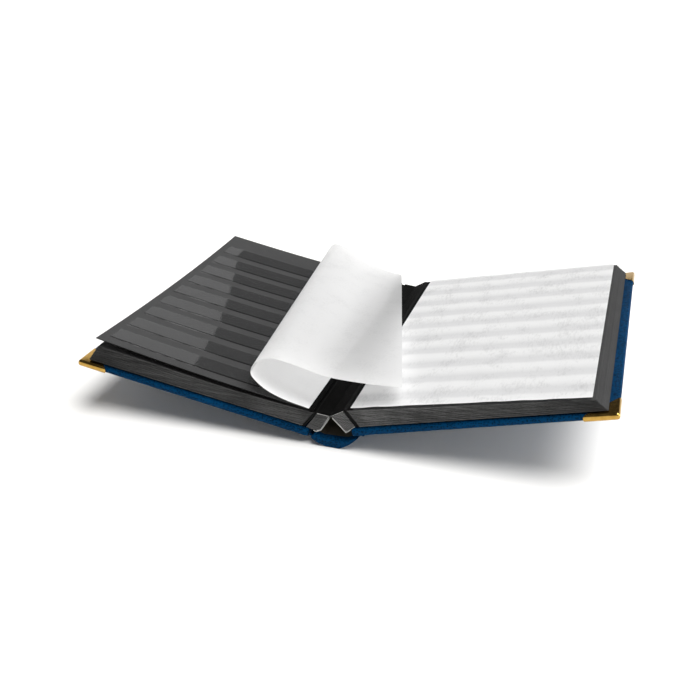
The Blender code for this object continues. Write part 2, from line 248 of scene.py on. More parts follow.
def mix_colour(tree, factor, first, second, blend="MIX"):
    made = tree.nodes.new("ShaderNodeMix")
    made.data_type = "RGBA"
    made.blend_type = blend
    for key, value in ((0, factor), (6, first), (7, second)):
        if isinstance(value, (int, float)):
            made.inputs[key].default_value = value
        elif isinstance(value, tuple):
            made.inputs[key].default_value = (*value, 1)
        else:
            tree.links.new(value, made.inputs[key])
    return made.outputs[2]


def bump(tree, shader, height, strength, depth_mm):
    made = tree.nodes.new("ShaderNodeBump")
    made.inputs["Strength"].default_value = strength
    made.inputs["Distance"].default_value = depth_mm * MM
    tree.links.new(height, made.inputs["Height"])
    tree.links.new(made.outputs["Normal"], shader.inputs["Normal"])


def multiply(tree, first, second):
    return mix_colour(tree, 1.0, first, second, "MULTIPLY")


def leatherette():
    """Pebbled blue leatherette: pits between the pebbles painted near black as painted shade, and broad worn patches.
    """
    made, tree, shader = new_material("leatherette", (0.001, 0.04, 0.12), 0.5, specular=0.03)
    pebbles = texture(tree, "Voronoi", 0.6)
    pebbles.feature = "F1"
    fine = texture(tree, "Noise", 2.4, Detail=3.0)
    wear = texture(tree, "Noise", 0.02, Detail=4.0)
    # Painted shade: the pits are painted near black, the slopes and tops in the leatherette's blue
    pit, slope, top = (0.0001, 0.0005, 0.002), (0.0001, 0.008, 0.024), (0.0003, 0.037, 0.104)
    base = ramp(tree, pebbles.outputs["Distance"], [(0.0, pit), (0.27, slope), (0.5, top)])
    tone = ramp(tree, wear.outputs["Fac"], [(0.35, 0.72), (0.65, 1.0)])
    tree.links.new(multiply(tree, base, tone), shader.inputs["Base Color"])
    gloss = ramp(tree, fine.outputs["Fac"], [(0.3, 0.42), (0.7, 0.58)])
    tree.links.new(gloss, shader.inputs["Roughness"])
    height = math_node(tree, "MULTIPLY_ADD", pebbles.outputs["Distance"], 0.8)
    tree.links.new(fine.outputs["Fac"], height.node.inputs[2])
    bump(tree, shader, height, 0.55, 0.25)
    return made


def black_card():
    """Matt black card with a short fibre."""
    made, tree, shader = new_material("black_card", (0.04, 0.04, 0.04), 0.75, specular=0.25)
    fibre = texture(tree, "Noise", 1.6, Detail=5.0)
    cloud = texture(tree, "Noise", 0.035, Detail=3.0)
    speckle = ramp(tree, fibre.outputs["Fac"], [(0.3, (0.032, 0.032, 0.0324)), (0.7, (0.05, 0.05, 0.0504))])
    patch = ramp(tree, cloud.outputs["Fac"], [(0.3, 0.86), (0.7, 1.0)])
    tree.links.new(multiply(tree, speckle, patch), shader.inputs["Base Color"])
    bump(tree, shader, fibre.outputs["Fac"], 0.3, 0.05)
    return made


def card_edges(name, tilt, dark, light):
    """The cut edges of a stack of cards, lined along the leaves, with painted light: at the leaves' ends paler towards
    the gutter, and on the other faces one fixed darker tone.
    """
    made, tree, shader = new_material(name, (0.09, 0.09, 0.09), 0.7, specular=0.2)
    lines = texture(tree, "Noise", 1.0, stretch=(0.012, 0.012, 2.0), tilt=tilt, Detail=3.0, Roughness=0.55)
    dust = texture(tree, "Noise", 0.04, Detail=2.0)
    weight = math_node(tree, "MULTIPLY", dust.outputs["Fac"], 0.35)
    both = math_node(tree, "ADD", lines.outputs["Fac"], weight)
    tone = ramp(tree, both, [(0.52, dark), (0.68, (dark + light) / 2), (0.84, light)])
    place = tree.nodes.new("ShaderNodeTexCoord")
    across, facing = [tree.nodes.new("ShaderNodeSeparateXYZ") for _ in range(2)]
    tree.links.new(place.outputs["Object"], across.inputs[0])
    tree.links.new(place.outputs["Normal"], facing.inputs[0])
    # Painted light and shade: graded by distance from the gutter on the end faces, and fixed on the others
    reach = math_node(tree, "ABSOLUTE", across.outputs["X"])
    share = math_node(tree, "DIVIDE", reach, EDGE_REACH * MM)
    fade = ramp(tree, share, [(0.1, 0.7), (0.14, 1.0), (0.95, 0.42)])
    at_end = math_node(tree, "ABSOLUTE", facing.outputs["Y"])
    painted_light_by_place = mix_colour(tree, at_end, (0.62, 0.62, 0.62), fade)
    tree.links.new(multiply(tree, tone, painted_light_by_place), shader.inputs["Base Color"])
    bump(tree, shader, lines.outputs["Fac"], 0.4, 0.1)
    return made


def clear_film():
    """Glossy film over black card, gently rippled."""
    made, tree, shader = new_material("clear_film", (0.036, 0.036, 0.037), 0.03, specular=1.0)
    shader.inputs["Alpha"].default_value = 0.4
    ripple = texture(tree, "Noise", 0.012, stretch=(1, 2.5, 1), Detail=0.0)
    bump(tree, shader, ripple.outputs["Fac"], 0.12, 0.5)
    return made


def film_rim():
    """The cut edge of the film: glossy, so that it glints wherever the film above it does, and painted light grey in
    patches as a painted highlight.
    """
    made, tree, shader = new_material("film_rim", (0.35, 0.35, 0.35), 0.1, 1.0)
    painted_glint = texture(tree, "Noise", 0.08, Detail=3.0)
    # Painted highlight: light grey in random patches along the edge
    tree.links.new(ramp(tree, painted_glint.outputs["Fac"], [(0.35, 0.05), (0.6, 0.45)]), shader.inputs["Base Color"])
    return made


def seam_black():
    """The darkest black: of the deep cloth hinges, and painted on the welded seams and the turning leaf's rim as
    painted shade along those edges.
    """
    made, tree, shader = new_material("seam_black", (0.004, 0.004, 0.004), 0.7, specular=0.1)
    grain = texture(tree, "Noise", 2.0, Detail=2.0)
    tree.links.new(ramp(tree, grain.outputs["Fac"], [(0.3, 0.001), (0.7, 0.004)]), shader.inputs["Base Color"])
    return made


def glassine(name, through_share, low, high, alpha=0.93, bands=0.0, grain=0.6, relief=0.35):
    """Translucent paper: cloudy fibres, light that comes through it, and a little of what lies beneath."""
    made, tree, shader = new_material(name, (0.83, 0.83, 0.83), 0.5, specular=0.3)
    fibre = texture(tree, "Noise", 0.55, stretch=(1, grain, 1), Detail=6.0, Roughness=0.65)
    cloud = texture(tree, "Noise", 0.05, Detail=4.0)
    mottle = math_node(tree, "ADD", fibre.outputs["Fac"], cloud.outputs["Fac"])
    colour = ramp(tree, mottle, [(0.6, low), (1.4, high)])
    if bands:
        colour = banded(tree, colour, bands)
    tree.links.new(colour, shader.inputs["Base Color"])
    shader.inputs["Alpha"].default_value = alpha
    bump(tree, shader, mottle, relief, 0.25)
    through = tree.nodes.new("ShaderNodeBsdfTranslucent")
    tree.links.new(colour, through.inputs["Color"])
    both = tree.nodes.new("ShaderNodeMixShader")
    both.inputs[0].default_value = through_share
    tree.links.new(shader.outputs[0], both.inputs[1])
    tree.links.new(through.outputs[0], both.inputs[2])
    tree.links.new(both.outputs[0], tree.nodes["Material Output"].inputs["Surface"])
    return made


def banded(tree, colour, depth):
    """Paints shade into the paper in wavy bands, where it lies close on each clear strip of the page beneath."""
    place = tree.nodes.new("ShaderNodeTexCoord")
    split = tree.nodes.new("ShaderNodeSeparateXYZ")
    tree.links.new(place.outputs["Object"], split.inputs[0])
    wobble = texture(tree, "Noise", 0.03, stretch=(1, 2, 1), Detail=3.0)
    first = (LEAF_HALF - STRIP_FIRST) * MM
    start = math_node(tree, "ADD", split.outputs["Y"], first)
    step = math_node(tree, "DIVIDE", start, STRIP_PITCH * MM)
    shift = math_node(tree, "MULTIPLY", wobble.outputs["Fac"], 0.16)
    cycle = math_node(tree, "FRACT", math_node(tree, "ADD", step, shift))
    stripe = ramp(tree, cycle, [(0.0, 0.0), (0.14, 0.85), (0.4, 1.0), (0.62, 0.3), (0.8, 0.0)])
    strength = math_node(tree, "MULTIPLY", stripe, depth)
    # Painted shade: mixes the paper towards grey in each band
    return mix_colour(tree, strength, colour, (0.45, 0.45, 0.46))


def woven(name, dark, light, per_mm):
    """Cloth with a plain weave, and lint over it."""
    made, tree, shader = new_material(name, light, 0.85, specular=0.06)
    warp = texture(tree, "Wave", per_mm, Distortion=0.4)
    weft = texture(tree, "Wave", per_mm, Distortion=0.4)
    weft.bands_direction = "Y"
    weave = math_node(tree, "MULTIPLY", warp.outputs["Fac"], weft.outputs["Fac"])
    lint = texture(tree, "Noise", 0.12, Detail=4.0)
    tone = math_node(tree, "MULTIPLY", weave, lint.outputs["Fac"])
    tree.links.new(ramp(tree, tone, [(0.0, dark), (0.6, light)]), shader.inputs["Base Color"])
    bump(tree, shader, weave, 0.5, 0.12)
    return made


def gilt_metal():
    """Gilt sheet metal, smeared and finely scratched."""
    made, tree, shader = new_material("gilt_metal", (0.5, 0.31, 0.08), 0.2, 1.0)
    smear = texture(tree, "Noise", 0.2, Detail=4.0)
    tint = ramp(tree, smear.outputs["Fac"], [(0.35, (0.38, 0.225, 0.05)), (0.65, (0.5, 0.31, 0.08))])
    tree.links.new(tint, shader.inputs["Base Color"])
    tree.links.new(ramp(tree, smear.outputs["Fac"], [(0.3, 0.12), (0.7, 0.2)]), shader.inputs["Roughness"])
    scratch = texture(tree, "Noise", 1.2, stretch=(1, 0.1, 1), Detail=3.0)
    bump(tree, shader, scratch.outputs["Fac"], 0.12, 0.05)
    return made


def plain_fibre(name, low, high, per_mm, roughness):
    """Paper, board or foam with an even grain."""
    made, tree, shader = new_material(name, high, roughness)
    grain = texture(tree, "Noise", per_mm, Detail=5.0)
    tree.links.new(ramp(tree, grain.outputs["Fac"], [(0.3, low), (0.7, high)]), shader.inputs["Base Color"])
    bump(tree, shader, grain.outputs["Fac"], 0.4, 0.15)
    return made


MATERIALS = {
    "leatherette": leatherette(),
    "black_card": black_card(),
    # The left stack's cut edges are painted darker than the right's, as painted shade: both stacks are the same card
    "left_edges": card_edges("left_edges", math.radians(9.8), 0.036, 0.15),
    "right_edges": card_edges("right_edges", math.radians(-12.5), 0.05, 0.21),
    "clear_film": clear_film(),
    "film_rim": film_rim(),
    "seam_black": seam_black(),
    "glassine": glassine("glassine", 0.56, 0.72, 0.79, alpha=0.86),
    # The curl's base is the same paper as its flap, painted brighter, as painted light in the shade inside the curl
    "glassine_painted_bright": glassine("glassine_painted_bright", 0.15, 0.9, 0.95),
    # The flat sheet's bands over the strips are painted shade
    "glassine_flat": glassine("glassine_flat", 0.25, 0.69, 0.91, bands=0.33, grain=0.3, relief=1.0),
    "linen": woven("linen", (0.0005, 0.0005, 0.0005), (0.006, 0.006, 0.006), 0.8),
    "mull": woven("mull", (0.6, 0.6, 0.58), (0.95, 0.95, 0.93), 1.2),
    "gilt_metal": gilt_metal(),
    "board": plain_fibre("board", (0.03, 0.023, 0.014), (0.06, 0.047, 0.03), 0.8, 0.9),
    "foam": plain_fibre("foam", (0.55, 0.52, 0.42), (0.72, 0.69, 0.6), 1.5, 0.95),
    "pastedown": plain_fibre("pastedown", (0.012, 0.012, 0.012), (0.022, 0.022, 0.022), 1.0, 0.8),
}


# ---- Mesh helpers ----

def finish_piece(piece, body, material, smooth=40):
    """Sets a piece's material and body, and smooth shading up to this angle in degrees."""
    piece.data.materials.clear()
    piece.data.materials.append(MATERIALS[material])
    if smooth:
        piece.data.shade_smooth()
        piece.data.set_sharp_from_angle(angle=math.radians(smooth))
    if body:
        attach(piece, body)


def object_of(name, shape):
    """An object from a bmesh that is drawn in millimetres."""
    bmesh.ops.scale(shape, vec=(MM, MM, MM), verts=shape.verts)
    bmesh.ops.recalc_face_normals(shape, faces=shape.faces)
    mesh = bpy.data.meshes.new(name)
    shape.to_mesh(mesh)
    shape.free()
    piece = bpy.data.objects.new(name, mesh)
    bpy.context.scene.collection.objects.link(piece)
    return piece


def rounded(piece, width, segments, angle=None):
    """Rounds the piece's edges, or only those that turn by more than the angle in degrees."""
    made = piece.modifiers.new("Rounding", "BEVEL")
    made.width = width * MM
    made.segments = segments
    if angle:
        made.limit_method = "ANGLE"
        made.angle_limit = math.radians(angle)
    return apply_modifiers(piece)


def apply_modifiers(piece):
    graph = bpy.context.evaluated_depsgraph_get()
    mesh = bpy.data.meshes.new_from_object(piece.evaluated_get(graph))
    piece.modifiers.clear()
    piece.data = mesh
    return piece


def add_grid(shape, rows):
    """An open sheet in the bmesh from rows of points."""
    made = [[shape.verts.new(point) for point in row] for row in rows]
    for near, far in zip(made, made[1:]):
        for corners in zip(near, near[1:], far[1:], far):
            shape.faces.new(corners)
    return made


def add_slab(shape, top, bottom):
    """A closed body between two matching grids."""
    upper = add_grid(shape, top)
    lower = add_grid(shape, bottom)

    def rim(grid):
        return grid[0] + [row[-1] for row in grid[1:-1]] + grid[-1][::-1] + [row[0] for row in grid[-2:0:-1]]

    above, below = rim(upper), rim(lower)
    for index, a in enumerate(above):
        after = (index + 1) % len(above)
        shape.faces.new((a, above[after], below[after], below[index]))


def join_rings(shape, rings):
    """Faces between each two neighbouring rings of vertices."""
    for near, far in zip(rings, rings[1:]):
        for corners in zip(near, near[1:] + near[:1], far[1:] + far[:1], far):
            shape.faces.new(corners)


def slab_of(name, top, bottom):
    """An object that is one closed body between two matching grids."""
    shape = bmesh.new()
    add_slab(shape, top, bottom)
    return object_of(name, shape)


def sheet_of(name, *sheets):
    """An object of open sheets, each given as rows of points."""
    shape = bmesh.new()
    for rows in sheets:
        add_grid(shape, rows)
    return object_of(name, shape)


def section(node):
    """The CAD node's outline at its front end, as points (x, z) in order, in millimetres."""
    mesh = NODES[node].data
    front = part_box(node)[0].y
    seen = {}
    for face in mesh.polygons:
        corners = [mesh.vertices[i].co for i in face.vertices]
        if max(abs(c.y - front) for c in corners) < 0.01 * MM:
            keys = [(round(c.x / MM, 3), round(c.z / MM, 3)) for c in corners]
            for pair in zip(keys, keys[1:] + keys[:1]):
                seen[frozenset(pair)] = seen.get(frozenset(pair), 0) + 1
    beside = {}
    for edge, count in seen.items():
        if count == 1 and len(edge) == 2:
            a, b = edge
            beside.setdefault(a, []).append(b)
            beside.setdefault(b, []).append(a)
    loop = [next(iter(sorted(beside)))]
    while len(loop) < len(beside):
        ahead = [p for p in beside[loop[-1]] if p not in loop[-2:]]
        if not ahead or ahead[0] == loop[0]:
            break
        loop.append(ahead[0])
    return [np.array(p) for p in loop]


def two_faces(node):
    """The upper and lower faces of a flat CAD node's section, each from its end at the gutter outwards."""
    loop = section(node)
    centre = np.mean(loop, axis=0)
    along = loop[int(np.argmax([np.linalg.norm(p - centre) for p in loop]))] - centre
    along /= np.linalg.norm(along)
    count = len(loop)
    ends = []
    for index in range(count):
        step = loop[(index + 1) % count] - loop[index]
        ends.append(abs(step @ along) / np.linalg.norm(step))
    first, second = sorted(np.argsort(ends)[:2])
    one = loop[first + 1:second + 1]
    other = loop[second + 1:] + loop[:first + 1]
    paths = [sorted(path, key=lambda p: abs(p[0] - GUTTER.x)) for path in (one, other)]
    paths.sort(key=lambda path: -np.mean([p[1] for p in path]))
    return paths


def spline_through(points, per_span):
    """A smooth curve through the points, with this many steps between each two of them."""
    points = [np.array(p, float) for p in points]
    ends = [2 * points[0] - points[1]] + points + [2 * points[-1] - points[-2]]
    curve = []
    for index in range(1, len(ends) - 2):
        before, start, end, after = ends[index - 1:index + 3]
        for t in np.linspace(0, 1, per_span, endpoint=False):
            linear = (end - before) * t
            square = (2 * before - 5 * start + 4 * end - after) * t**2
            cube = (3 * start - before - 3 * end + after) * t**3
            curve.append(0.5 * (2 * start + linear + square + cube))
    curve.append(points[-1])
    return curve


def smooth_noise(seed, waves=4):
    """A gentle random function of one number, with values of about -1 to 1."""
    source = random.Random(seed)
    parts = [(source.uniform(0.6, 3.2), source.uniform(0, math.tau), source.uniform(0.4, 1)) for _ in range(waves)]
    total = sum(size for _, _, size in parts)
    return lambda t: sum(size * math.sin(rate * math.tau * t + start) for rate, start, size in parts) / total


# ---- Covers and spine ----

def cover_frame(cover):
    """The cover's width, and a function to (x, z) from u, outwards from the spine, and v, down through the cover."""
    top, bottom = two_faces(cover + "_board")
    outward = (top[-1] - top[0]) / np.linalg.norm(top[-1] - top[0])
    down = (bottom[0] - top[0]) / np.linalg.norm(bottom[0] - top[0])
    corner = top[0] - BOARD_INSET * (outward + down)
    width = np.linalg.norm(top[-1] - top[0]) + 2 * BOARD_INSET
    return (lambda u, v: corner + u * outward + v * down), width


def cover_thickness(share):
    """The padded cover's thickness at this share of its width."""
    return COVER_THICK_INNER + share * (COVER_THICK_OUTER - COVER_THICK_INNER)


def grid_lines(low, high, inner_steps):
    """Grid lines from low to high, with extra ones close to the edges and at the turned-in margin."""
    near = [0, 4, 9, TURN_IN - 0.6, TURN_IN + 0.2]
    middle = list(np.linspace(low + TURN_IN + 6, high - TURN_IN - 6, inner_steps))
    return [low + n for n in near] + middle + [high - n for n in near[::-1]]


def half_length(node):
    """Half of a CAD node's length along the album."""
    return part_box(node)[1].y / MM


def make_cover(cover):
    """A padded cover: crowned outside, and inside recessed within the turned-in margin for the pastedown."""
    at, width = cover_frame(cover)
    half = half_length(cover + "_cover_skin")
    us = grid_lines(0, width, 22)
    ys = grid_lines(-half, half, 30)
    top, bottom = [], []
    for y in ys:
        top_row, bottom_row = [], []
        for u in us:
            inside = TURN_IN <= u <= width - TURN_IN and abs(y) <= half - TURN_IN
            x, z = at(u, RECESS if inside else 0)
            top_row.append((x, y, z))
            edge = min(u, width - u, half - abs(y)) / PAD_RISE
            swell = PAD_CROWN * math.sin(math.pi / 2 * min(1, max(0, edge)))
            x, z = at(u, cover_thickness(u / width) - PAD_WITHIN * PAD_CROWN + swell)
            bottom_row.append((x, y, z))
        top.append(top_row)
        bottom.append(bottom_row)
    pad = rounded(slab_of(cover + "_cover_pad", top, bottom), COVER_ROUNDING, 5, angle=50)
    finish_piece(pad, cover + "_cover", "leatherette")
    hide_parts(cover + "_cover_skin")


def cover_block(at, width, half, grow, rounding):
    """A rounded block the size of the cover, grown by this much, as a temporary object."""
    shape = bmesh.new()
    corners = []
    for y in (-half - grow, half + grow):
        for u, v in ((-grow, -grow), (width + grow, -grow)):
            corners.append((*at(u, v), y))
        for u, share in ((width + grow, 1), (-grow, 0)):
            corners.append((*at(u, cover_thickness(share) + grow), y))
    verts = [shape.verts.new((x, y, z)) for x, z, y in corners]
    for face in ((0, 1, 2, 3), (7, 6, 5, 4), (0, 4, 5, 1), (1, 5, 6, 2), (2, 6, 7, 3), (3, 7, 4, 0)):
        shape.faces.new([verts[i] for i in face])
    return rounded(object_of("block", shape), rounding, 6)


def boolean(piece, cutter, operation):
    made = piece.modifiers.new("Cut", "BOOLEAN")
    made.operation = operation
    made.object = cutter
    made.solver = "EXACT"
    apply_modifiers(piece)
    bpy.data.objects.remove(cutter)


def turned_box(size, centre, cover_tilt, turn):
    """A cutter, tilted with the cover and turned in the cover's plane."""
    shape = bmesh.new()
    bmesh.ops.create_cube(shape, size=1)
    spin = Matrix.Rotation(cover_tilt, 4, "Y") @ Matrix.Rotation(turn, 4, "Z")
    place = Matrix.Translation(centre) @ spin @ Matrix.Diagonal((*size, 1))
    bmesh.ops.transform(shape, matrix=place, verts=shape.verts)
    return object_of("cutter", shape)


def make_corner(cover, end):
    """A stamped corner: two flaps and rolled edges over the cover's outer corner, with a slit at its tip."""
    node = f"{cover}_cover_corner_{end}"
    at, width = cover_frame(cover)
    half = half_length(cover + "_cover_skin")
    outward = {"front": -1, "back": 1}[end]
    sheet = CORNER_CLEAR + CORNER_SHEET
    corner = cover_block(at, width, half, sheet, CORNER_ROUNDING)
    inside = cover_block(at, width, half, CORNER_CLEAR, CORNER_ROUNDING_INSIDE)
    tilt = math.atan2(*(at(0, 1) - at(0, 0))) - math.pi
    x, z = at(width + sheet, COVER_THICK_OUTER / 2)
    tip = Vector((x, outward * (half + sheet), z))
    leg = CORNER_LEG * math.sqrt(2)
    boolean(corner, turned_box((leg, leg, 4 * CORNER_LEG), tip, tilt, math.pi / 4), "INTERSECT")
    boolean(corner, inside, "DIFFERENCE")
    slit = turned_box(CORNER_SLIT, tip, tilt, -outward * math.copysign(math.pi / 4, x))
    boolean(corner, slit, "DIFFERENCE")
    corner.name = corner.data.name = node + "_gilt"
    finish_piece(corner, cover + "_cover", "gilt_metal", smooth=35)
    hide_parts(node)


def spine_face(depth, steps=12):
    """The spine's section at this depth in from its outer face: a flat foot with a curve up to each end."""
    def rise(start, end, bulge):
        return [(start[0] + t * (end[0] - start[0]),
                 start[1] + t * (end[1] - start[1]) - bulge * math.sin(math.pi * t))
                for t in np.linspace(0, 1, steps)]

    inset = SPINE_TAPER * depth
    left = (SPINE_LEFT[0] + inset, SPINE_LEFT[1] + inset)
    right = (SPINE_RIGHT[0] - inset, SPINE_RIGHT[1] - SPINE_RIGHT_DROP * depth)
    foot_left, foot_right = [(x, -GUTTER.z + depth) for x in SPINE_FLAT]
    path = rise(left, foot_left, SPINE_BULGE_LEFT) + rise(foot_right, right, SPINE_BULGE_RIGHT)
    return [(x + GUTTER.x, z + GUTTER.z) for x, z in path]


def make_spine():
    """The padded spine: a crescent that the leatherette wraps, lined with dark paper inside its turned-in ends."""
    half = half_length("spine_skin")
    near = [half, half - 3, half - SPINE_TURN_IN]
    ys = [-y for y in near] + list(np.linspace(-half + 40, half - 40, 9)) + near[::-1]
    inner = [[(x, y, z) for x, z in spine_face(SPINE_DEPTH)] for y in ys]
    outer = [[(x, y, z) for x, z in spine_face(0)] for y in ys]
    pad = rounded(slab_of("spine_pad", inner, outer), SPINE_ROUNDING, 4, angle=50)
    finish_piece(pad, "spine", "leatherette")
    pad.data.materials.append(MATERIALS["board"])
    for face in pad.data.polygons:
        if face.normal.z > 0.5 and abs(face.center.y) < (half - SPINE_TURN_IN) * MM:
            face.material_index = 1
    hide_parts("spine_skin", "spine_foam", "spine_board")


def make_joint_cloth(cover):
    """The leatherette that folds into the groove between the spine and a cover, and opens out as the cover swings."""
    half = half_length(cover + "_joint_cloth") - JOINT_SHORT
    path = spline_through(JOINT_PATHS[cover], 8)
    ys = np.linspace(-half, half, 25)
    top = [[(x + GUTTER.x, y, z + GUTTER.z) for x, z in path] for y in ys]
    bottom = [[(x + GUTTER.x, y, z + GUTTER.z - JOINT_THICK) for x, z in path] for y in ys]
    cloth = slab_of(cover + "_joint_fold", top, bottom)
    finish_piece(cloth, None, "leatherette")
    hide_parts(cover + "_joint_cloth")
    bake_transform(cloth)


make_spine()
for cover in ("front", "rear"):
    make_joint_cloth(cover)
for cover in ("front", "rear"):
    make_cover(cover)
    for end in ("front", "back"):
        make_corner(cover, end)


# ---- Leaves ----

def resample(path, steps):
    """This many points, evenly spread over a smooth curve through the path."""
    curve = spline_through(path, 6)
    picks = np.linspace(0, len(curve) - 1, steps)
    xs = np.interp(picks, range(len(curve)), [p[0] for p in curve])
    zs = np.interp(picks, range(len(curve)), [p[1] for p in curve])
    return np.stack([xs, zs], axis=1)


def make_cards(node, body, seed):
    """The leaves of one CAD node as separate cards, whose edges don't quite line up."""
    upper, lower = (resample(path, CARD_STEPS) for path in two_faces(node))
    outward = (upper[-1] - upper[0]) / np.linalg.norm(upper[-1] - upper[0])
    source = random.Random(seed)
    shape = bmesh.new()
    for index in range(CARDS_PER_NODE):
        high, low = index / CARDS_PER_NODE, (index + 1) / CARDS_PER_NODE - CARD_GAP / 2
        reach = source.uniform(-CARD_SCATTER, CARD_SCATTER)
        front = -LEAF_HALF + source.uniform(-CARD_STAGGER, CARD_STAGGER)
        back = LEAF_HALF + source.uniform(-CARD_STAGGER, CARD_STAGGER)
        wave = smooth_noise(seed * 10 + index)
        top, bottom = [], []
        for along in np.linspace(0, 1, CARD_STEPS):
            y = front + (back - front) * along
            ripple = CARD_RIPPLE * wave(along)
            rows = []
            for share in (high, low):
                line = upper + share * (lower - upper)
                line = line + np.linspace(0, reach, len(line))[:, None] * outward
                rows.append([(x, y, z + ripple) for x, z in line])
            top.append(rows[0])
            bottom.append(rows[1])
        add_slab(shape, top, bottom)
    cards = object_of(node.replace("leaves", "cards"), shape)
    finish_piece(cards, body, "black_card", smooth=30)
    mark_edges(cards, outward, "left_edges" if outward[0] < 0 else "right_edges")
    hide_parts(node)


def mark_edges(piece, outward, material):
    """Gives the faces round a card's rim their own material, the card running outwards along (x, z)."""
    piece.data.materials.append(MATERIALS[material])
    upward = Vector((-outward[1], 0, outward[0])) * math.copysign(1, outward[0])
    for face in piece.data.polygons:
        if abs(face.normal.dot(upward)) < 0.5:
            face.material_index = 1


for side in ("left", "right"):
    stack = [name for name in sorted(NODES) if name.startswith(side + "_leaves_")]
    for index, node in enumerate(stack):
        make_cards(node, side + "_leaves", 31 * index + len(side))


def turning_height(x, y):
    """The turning leaf's underside: it rises from the hinge, sags a little and is bowed along Y."""
    share = (x - TURN_START[0]) / (TURN_OUTER[0] - TURN_START[0])
    along = y / LEAF_HALF
    outer = TURN_OUTER[1] + TURN_LIFT * along + TURN_BOW * along * along
    return TURN_START[1] + share * (outer - TURN_START[1]) - TURN_SAG * math.sin(math.pi * share)


def turning_surface(lift):
    """Points at this height over the turning leaf's underside, as a function of x and y round the gutter."""
    return lambda x, y: (x + GUTTER.x, y, turning_height(x, y) + lift + GUTTER.z)


def page_surface(node):
    """Points at a given height over a CAD node's upper face, as a function of x and y round the gutter."""
    face = resample(two_faces(node)[0], PAGE_STEPS)
    order = np.argsort(face[:, 0])
    xs, zs = face[order, 0], face[order, 1]
    return lambda lift: lambda x, y: (x + GUTTER.x, y, float(np.interp(x + GUTTER.x, xs, zs)) + lift)


def surface_rows(surface, xs, ys):
    return [[surface(x, y) for x in xs] for y in ys]


def strip_low_edge(index):
    """The edge of a clear strip that is nearest the album's front: the strips are spaced evenly up the page."""
    return -LEAF_HALF + STRIP_FIRST + index * STRIP_PITCH


def from_gutter(x, z):
    """A point (x, z) round the gutter, in metres."""
    return tuple((GUTTER + Vector((x, 0, z))) * MM)


# How the turning leaf flattens a little as it comes down on the other page: its joint, axis, anchor and share kept.
# This script doesn't apply it; the pieces it is passed to only get their own meshes.
LEAF_FLAT = {"joint": "leaf_turn", "axis": PAGE_NORMAL, "anchor": from_gutter(*TURN_HINGE), "keep": LEAF_KEEP}


def make_turning_leaf():
    """The card that turns, its edges painted the darkest black as painted shade."""
    xs = np.linspace(TURN_OUTER[0], TURN_START[0], LEAF_STEPS[0])
    ys = np.linspace(-LEAF_HALF, LEAF_HALF, LEAF_STEPS[1])
    top, bottom = (surface_rows(turning_surface(lift), xs, ys) for lift in (LEAF_CARD, 0))
    leaf = slab_of("turning_leaf_card", top, bottom)
    finish_piece(leaf, "turning_leaf", "black_card", smooth=30)
    # The leaf's rim is painted the darkest black, as painted shade along its edges
    mark_edges(leaf, (-PAGE_NORMAL[2], PAGE_NORMAL[0]), "seam_black")
    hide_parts("turning_leaf")
    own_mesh(leaf)


def strip_rows(surface_at, low, x_low, x_high, seed):
    """A clear strip's film: held down along its low edge and its ends, and standing a little open at the top."""
    wave = smooth_noise(seed)
    rows = []
    for share in np.linspace(0, 1, 7):
        y = low + share * STRIP_HEIGHT
        row = []
        for across in np.linspace(0, 1, STRIP_STEPS):
            x = x_low + across * (x_high - x_low)
            opening = min(1, FILM_OPENING * across, FILM_OPENING * (1 - across))
            puff = FILM_PUFF * share * opening * (1 + 0.1 * wave(across))
            row.append(surface_at(FILM_LIFT + puff)(x, y))
        rows.append(row)
    return rows


def seam_rows(surface_at, low, x_low, x_high):
    """The welded seam under a strip's low edge, as a low rounded ridge, painted dark as the shade along that edge."""
    xs = np.linspace(x_low, x_high, STRIP_STEPS)
    return [[surface_at(lift)(x, low + share * SEAM) for x in xs] for share, lift in SEAM_SECTION]


def rim_rows(surface_at, low, x_low, x_high):
    """The film's own edge, showing just below the seam."""
    xs = np.linspace(x_low, x_high, STRIP_STEPS)
    return [[surface_at(RIM_LIFT)(x, low - SEAM - y) for x in xs] for y in (FILM_RIM, 0)]


def two_materials(piece, second, count):
    """Gives the piece's last faces the second material."""
    piece.data.materials.append(MATERIALS[second])
    faces = piece.data.polygons
    for face in list(faces)[len(faces) - count:]:
        face.material_index = 1


TURNING_STRIPS = (TURN_OUTER[0] + STRIP_INSET, TURN_START[0] - STRIP_INSET_INNER)


def over_leaf(lift):
    """Points at this height over the turning leaf's upper face."""
    return turning_surface(LEAF_CARD + lift)


def make_turning_strips():
    """The nine strips on the leaf that turns: each one's film with its rim, and its seam."""
    for index in range(STRIPS):
        low = strip_low_edge(index)
        film = sheet_of(f"strip_film_{index + 1}", strip_rows(over_leaf, low, *TURNING_STRIPS, 500 + index),
                        rim_rows(over_leaf, low, *TURNING_STRIPS))
        finish_piece(film, "turning_leaf", "clear_film")
        two_materials(film, "film_rim", STRIP_STEPS - 1)
        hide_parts(f"clear_strip_{index + 1}")
        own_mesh(film)
        seam = sheet_of(f"strip_seam_{index + 1}", seam_rows(over_leaf, low, *TURNING_STRIPS))
        # The seam is painted darker than the card, as painted shade along the strip's low edge
        finish_piece(seam, "turning_leaf", "seam_black")
        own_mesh(seam)


